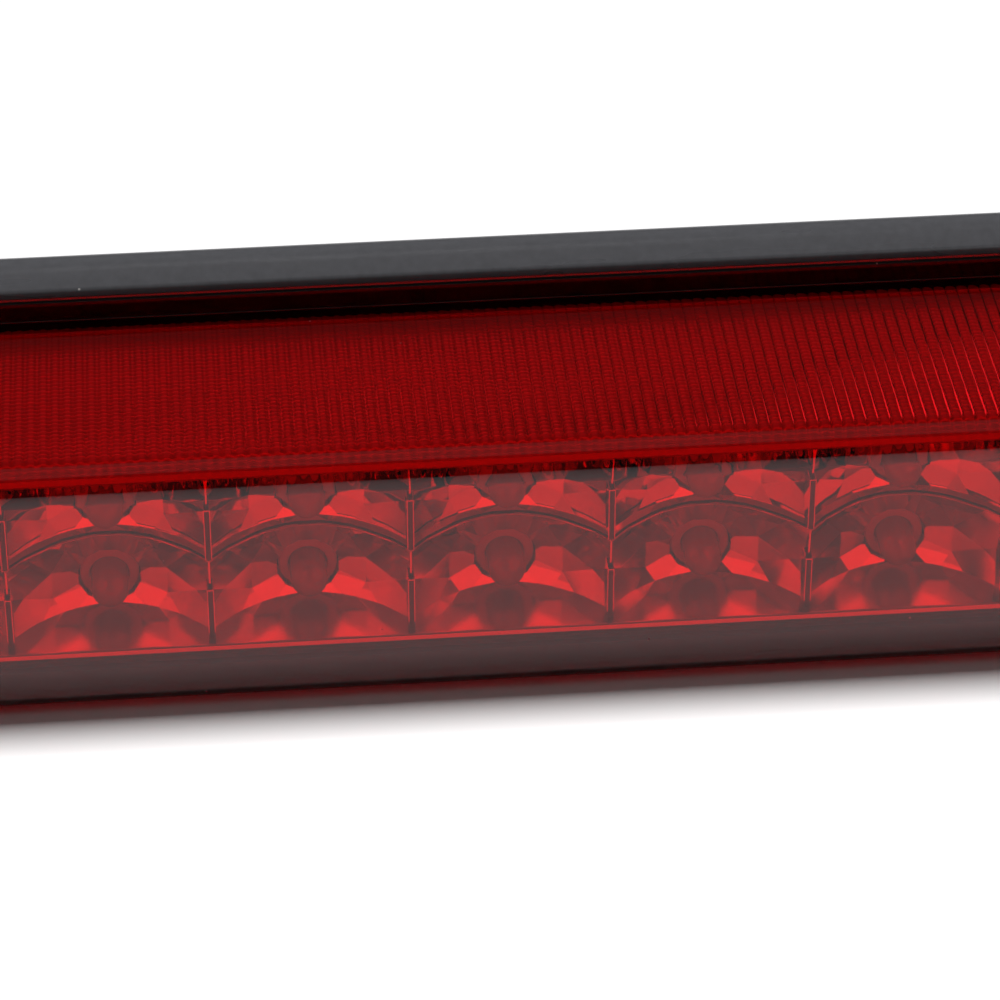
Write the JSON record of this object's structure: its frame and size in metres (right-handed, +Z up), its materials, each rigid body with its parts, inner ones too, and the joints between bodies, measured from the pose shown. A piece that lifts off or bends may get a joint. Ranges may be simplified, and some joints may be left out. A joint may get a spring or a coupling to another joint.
{
  "type": "third brake light",
  "caption": "Long straight LED stop lamp: red lens over a metallised two-row bowl reflector in a black housing, with end ears for two bolts.",
  "frame": {"origin": "middle of the underside of the lamp, at the height of the surface that it stands on", "axes": "+X along the lamp, +Y towards the vehicle side where it bolts on, -Y out of the lens's front, +Z up"},
  "size_m": [0.4276, 0.054, 0.0434],
  "materials": {
    "black_plastic": "moulded, glossy",
    "red_lens": "clear red, polished",
    "metallised": "moulded with a vacuum-metallised mirror coat",
    "board": "solder mask on glass-fibre board",
    "grey_plastic": "moulded nylon, grey",
    "white_plastic": "moulded nylon",
    "led": "cast epoxy",
    "chip": "moulded package with tinned ends",
    "steel": "zinc plated",
    "butyl": "tacky bead",
    "rubber": "foamed rubber",
    "socket_plastic": "moulded, fine grain",
    "silicone": "soft",
    "brass": "tinned brass",
    "red_wire": "extruded insulation",
    "black_wire": "extruded insulation",
    "membrane": "porous film"
  },
  "bodies": {
    "root": {"housing": "black_plastic", "outer_lens": "red_lens", "reflector": "metallised", "led_board": "board", "led_spacers": "grey_plastic", "led_01": "led", "led_02": "led", "led_03": "led", "led_04": "led", "led_05": "led", "led_06": "led", "led_07": "led", "led_08": "led", "led_09": "led", "led_10": "led", "led_11": "led", "led_12": "led", "led_13": "led", "led_14": "led", "led_15": "led", "led_16": "led", "led_17": "led", "led_18": "led", "led_19": "led", "led_20": "led", "led_21": "led", "led_22": "led", "led_23": "led", "led_24": "led", "led_25": "led", "led_26": "led", "led_27": "led", "led_28": "led", "resistor_1": "chip", "resistor_2": "chip", "resistor_3": "chip", "resistor_4": "chip", "resistor_5": "chip", "resistor_6": "chip", "resistor_7": "chip", "protection_diode": "chip", "capacitor": "chip", "board_header": "white_plastic", "board_screws": "steel", "reflector_screws": "steel", "lens_seal": "butyl", "back_gasket": "rubber", "mount_sleeve_left": "steel", "mount_sleeve_right": "steel", "connector_socket": "socket_plastic", "socket_seal": "silicone", "socket_screws": "steel", "socket_pin_feed": "brass", "socket_pin_ground": "brass", "wire_feed": "red_wire", "wire_ground": "black_wire", "vent_cap": "black_plastic", "vent_membrane": "membrane"}
  },
  "joints": []
}
